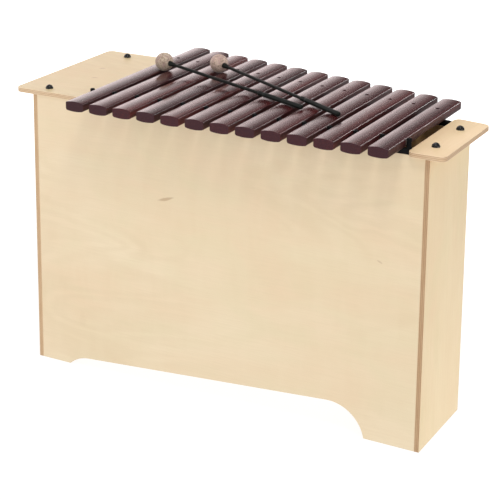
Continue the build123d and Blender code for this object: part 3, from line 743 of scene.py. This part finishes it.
def yarn_head(name, mat4, seed, R=0.018, strands=96, seg=72, sides=6):
    """A ball wound from wool yarn over a hollow body. Strands run round the ball and part where the collar comes out."""
    rnd = random.Random(seed)
    bm = bmesh.new()
    # body of the ball under the strands, with the bore for the core, the shaft and the collar
    out_r, in_r, hole, neck = R - 0.0016, 0.01102, 0.00540, 0.00303
    prof = []
    a0, a1 = -math.pi / 2, math.acos(hole / out_r)
    for i in range(37):
        a = a0 + (a1 - a0) * i / 36
        prof.append((out_r * math.sin(a), 0.0 if i == 0 else out_r * math.cos(a), True))
    prof += [(0.01445, hole, False), (0.01445, neck, False)]
    b0 = math.acos(neck / in_r)
    for i in range(25):
        a = b0 + (-math.pi / 2 - b0) * i / 24
        prof.append((in_r * math.sin(a), 0.0 if i == 24 else in_r * math.cos(a), False))
    segs, rings = 56, []
    for z_, r_, outer in prof:
        pts = [Vector((0, 0, z_))] if r_ <= 1e-9 else [
            Vector((r_ * math.cos(2 * math.pi * k / segs), r_ * math.sin(2 * math.pi * k / segs), z_)) for k in range(segs)]
        if outer and z_ < 0.014:
            pts = [p_ * (1 + 0.014 * noise.noise(p_ * 260 + Vector((seed, 0, 0)))) for p_ in pts]
        rings.append([bm.verts.new(p_) for p_ in pts])
    for a, b in zip(rings, rings[1:]):
        for k in range(segs):
            k2 = (k + 1) % segs
            if len(a) == 1:
                bm.faces.new((a[0], b[k], b[k2]))
            elif len(b) == 1:
                bm.faces.new((a[k], b[0], a[k2]))
            else:
                bm.faces.new((a[k], b[k], b[k2], a[k2]))
    for i in range(strands):
        tilt = math.radians(rnd.uniform(52, 90)) if i % 3 else math.radians(rnd.uniform(20, 60))
        turn = (i * 2.399963 + rnd.uniform(-0.15, 0.15)) % (2 * math.pi)
        n = Vector((math.sin(tilt) * math.cos(turn), math.sin(tilt) * math.sin(turn), math.cos(tilt)))
        offset = rnd.uniform(-0.40, 0.40) * R
        tube = rnd.uniform(0.00085, 0.00120)
        rad = R - tube * 0.85 - rnd.uniform(0.0, 0.0007)
        a = n.orthogonal().normalized()
        b = n.cross(a)
        ph, amp, k_ = rnd.uniform(0, 6.28), rnd.uniform(0.0, 0.0018), rnd.choice((2, 3, 4))
        rings = []
        for j in range(seg):
            t = 2 * math.pi * j / seg
            off = offset + amp * math.sin(k_ * t + ph)
            c = (a * math.cos(t) + b * math.sin(t)) * math.sqrt(max(1e-9, rad * rad - off * off)) + n * off
            rho, keep = math.hypot(c.x, c.y), hole + tube * 1.25
            if c.z > 0 and rho < keep:
                k2 = keep / max(rho, 1e-6)
                c = Vector((c.x * k2, c.y * k2, 0))
                c.z = math.sqrt(rad * rad - c.x * c.x - c.y * c.y)
            rings.append(c)
        pts = [(rings[j - 1] + rings[j] * 2 + rings[(j + 1) % seg]) / 4 for j in range(seg)]
        first = prev = None
        for j in range(seg):
            c = pts[j]
            along = (pts[(j + 1) % seg] - pts[j - 1]).normalized()
            out = c.normalized()
            side = along.cross(out).normalized()
            w = tube * (1 + 0.10 * math.sin(11 * 2 * math.pi * j / seg + ph))
            ring = [bm.verts.new(c + out * (w * 0.8 * math.cos(q)) + side * (w * 1.1 * math.sin(q)))
                    for q in (2 * math.pi * s / sides for s in range(sides))]
            if prev:
                for s in range(sides):
                    bm.faces.new((prev[s], prev[(s + 1) % sides], ring[(s + 1) % sides], ring[s]))
            else:
                first = ring
            prev = ring
        for s in range(sides):
            bm.faces.new((prev[s], prev[(s + 1) % sides], first[(s + 1) % sides], first[s]))
    bmesh.ops.transform(bm, matrix=mat4, verts=bm.verts)
    ob = link_mesh(name, bm)
    ob.data.shade_smooth()
    ob.data.set_sharp_from_angle(angle=math.radians(60))
    return ob


wool_mats = [wool("mallet_wool_1", 0.0), wool("mallet_wool_2", 3.1, a=(0.43, 0.305, 0.235), b=(0.70, 0.53, 0.44), c=(0.50, 0.335, 0.30))]
shaft_mat = glassfibre("mallet_shaft")
grip_mat = rubber("mallet_grip", col=(0.0040, 0.0055, 0.0045), rough=0.46, scale=900.0, spec=0.16)
core_mat = rubber("mallet_core", col=(0.05, 0.04, 0.035))
for k, spec in enumerate(MALLETS, 1):
    fr = axis_frame(**spec)
    head = yarn_head(f"mallet_{k}_yarn_head", fr, 17 + k)
    place(head, f"mallet_{k}", "mallet_wool", wool_mats[k - 1], f"mallet_{k}_winding")
    L0, L1 = 262.0, 372.0
    prof = [(L1 - 3.8, 0.0), (L1 - 3.8, 3.03), (L0, 3.03), (L0, 3.75), (L0 + 0.25, 4.05), (L0 + 0.9, 4.30)]
    for r_ in range(5):
        s0 = L0 + 2.2 + r_ * 2.4
        prof += [(s0, 4.48), (s0 + 0.35, 4.24), (s0 + 0.8, 4.17), (s0 + 1.25, 4.24), (s0 + 1.6, 4.48)]
    prof += [(L0 + 18, 4.5), (L0 + 60, 4.42), (L1 - 12, 4.5), (L1 - 2.6, 4.5), (L1 - 1.5, 4.27), (L1 - 0.75, 3.78), (L1 - 0.2, 2.9), (L1, 1.9), (L1, 0.0)]
    grip = lathe(f"mallet_{k}_grip_sleeve", prof, fr)
    place(grip, f"mallet_{k}", "mallet_grip", grip_mat, f"mallet_{k}_grip")
    set_mat(NODES[f"mallet_{k}_shaft"], shaft_mat)
    set_mat(NODES[f"mallet_{k}_collar"], grip_mat)
    set_mat(NODES[f"mallet_{k}_core"], core_mat)

# ------------------------------------------------------------------ floor and light
bm = bmesh.new()
fv = [bm.verts.new((x, y, -0.0006)) for x, y in ((-9, -6), (9, -6), (9, 12), (-9, 12))]
bm.faces.new(fv)
floor = link_mesh("floor", bm)
fm = new_mat("floor")
pf = fm.coords().outputs["Object"]
tint = fm.mix(fm.range(fm.noise(pf, 3.0, 2.0), 0.3, 0.7, 0, 1), (0.93, 0.93, 0.925), (0.95, 0.95, 0.95))
dif = fm.n("ShaderNodeBsdfDiffuse")
fm.put(dif.inputs["Color"], tint)
emi = fm.n("ShaderNodeEmission")
fm.put(emi.inputs["Color"], (1.0, 1.0, 1.0))
fsep = fm.n("ShaderNodeSeparateXYZ")
fm.put(fsep.inputs[0], pf)
far = fm.range(fsep.outputs[1], 0.35, 1.6, 1.12, 1.75, "SMOOTHSTEP")
# out of the camera's sight, at the back right, the studio floor is in shade
shade = fm.range(fm.math("ADD", fsep.outputs[0], fm.math("MULTIPLY", fsep.outputs[1], 0.25)), 0.75, 1.7, 1.0, 0.25, "SMOOTHSTEP")
fm.put(emi.inputs["Strength"], fm.math("MULTIPLY", far, shade))
mixs = fm.n("ShaderNodeMixShader")
mixs.inputs[0].default_value = 0.80
fm.link(dif.outputs[0], mixs.inputs[1])
fm.link(emi.outputs[0], mixs.inputs[2])
outn = fm.n("ShaderNodeOutputMaterial")
fm.link(mixs.outputs[0], outn.inputs[0])
set_mat(floor, fm.mat)
floor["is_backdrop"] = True

world = bpy.data.worlds.new("world")
bpy.context.scene.world = world
world.use_nodes = True
wt = world.node_tree
wt.nodes.clear()
w = NT.__new__(NT)
w.t, w.mat, w.col = wt, None, 0
d = w.coords().outputs["Generated"]
sep = w.n("ShaderNodeSeparateXYZ")
w.put(sep.inputs[0], d)
behind = w.range(sep.outputs[1], -0.15, 0.35, 0.0, 1.0, "SMOOTHSTEP")
# behind the object: a low bright backdrop towards the left, falling off upwards and to the right
lean = w.math("ADD", sep.outputs[2], w.math("MULTIPLY", sep.outputs[0], 1.26))
back_l = w.range(lean, -0.47, 0.03, 2.0, 0.13)
front_l = w.range(sep.outputs[2], 0.0, 0.75, 1.08, 0.45)
rest = w.math("SUBTRACT", 1.0, behind)
front_part = w.math("MULTIPLY", rest, front_l)


def tinted(k):
    return w.math("ADD", w.math("MULTIPLY", w.math("MULTIPLY", behind, back_l), k), front_part)


bg = w.n("ShaderNodeBackground")
w.put(bg.inputs["Color"], w.combine(tinted(1.0), tinted(0.875), tinted(0.87)))
bg.inputs["Strength"].default_value = 1.0
wo = w.n("ShaderNodeOutputWorld")
w.link(bg.outputs[0], wo.inputs[0])


def area(name, az, el, dist, size, power, target=(0, 0, 0.55), color=(1, 1, 1)):
    """Soft box; az is measured from +Y towards +X."""
    a, e = math.radians(az), math.radians(el)
    dvec = Vector((math.sin(a) * math.cos(e), math.cos(a) * math.cos(e), math.sin(e)))
    l = bpy.data.lights.new(name, "AREA")
    l.shape, l.size, l.energy, l.color = "SQUARE", size, power, color
    o = bpy.data.objects.new(name, l)
    bpy.context.scene.collection.objects.link(o)
    o.location = Vector(target) + dvec * dist
    o.rotation_mode = "QUATERNION"
    o.rotation_quaternion = dvec.to_track_quat("Z", "Y")
    return o


area("overhead", 0, 80, 2.4, 1.1, 20)
area("key", 150, 56, 2.6, 0.55, 15)
area("front", 220, 7, 3.4, 1.7, 14)
area("side", 98, 12, 3.0, 1.6, 14)
area("rim", 21, 15, 6.0, 0.9, 80)

sc = bpy.context.scene
sc.view_settings.view_transform = "Standard"
sc.view_settings.look = "None"
sc.view_settings.exposure = 0.0
sc.view_settings.gamma = 1.0

lo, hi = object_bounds()
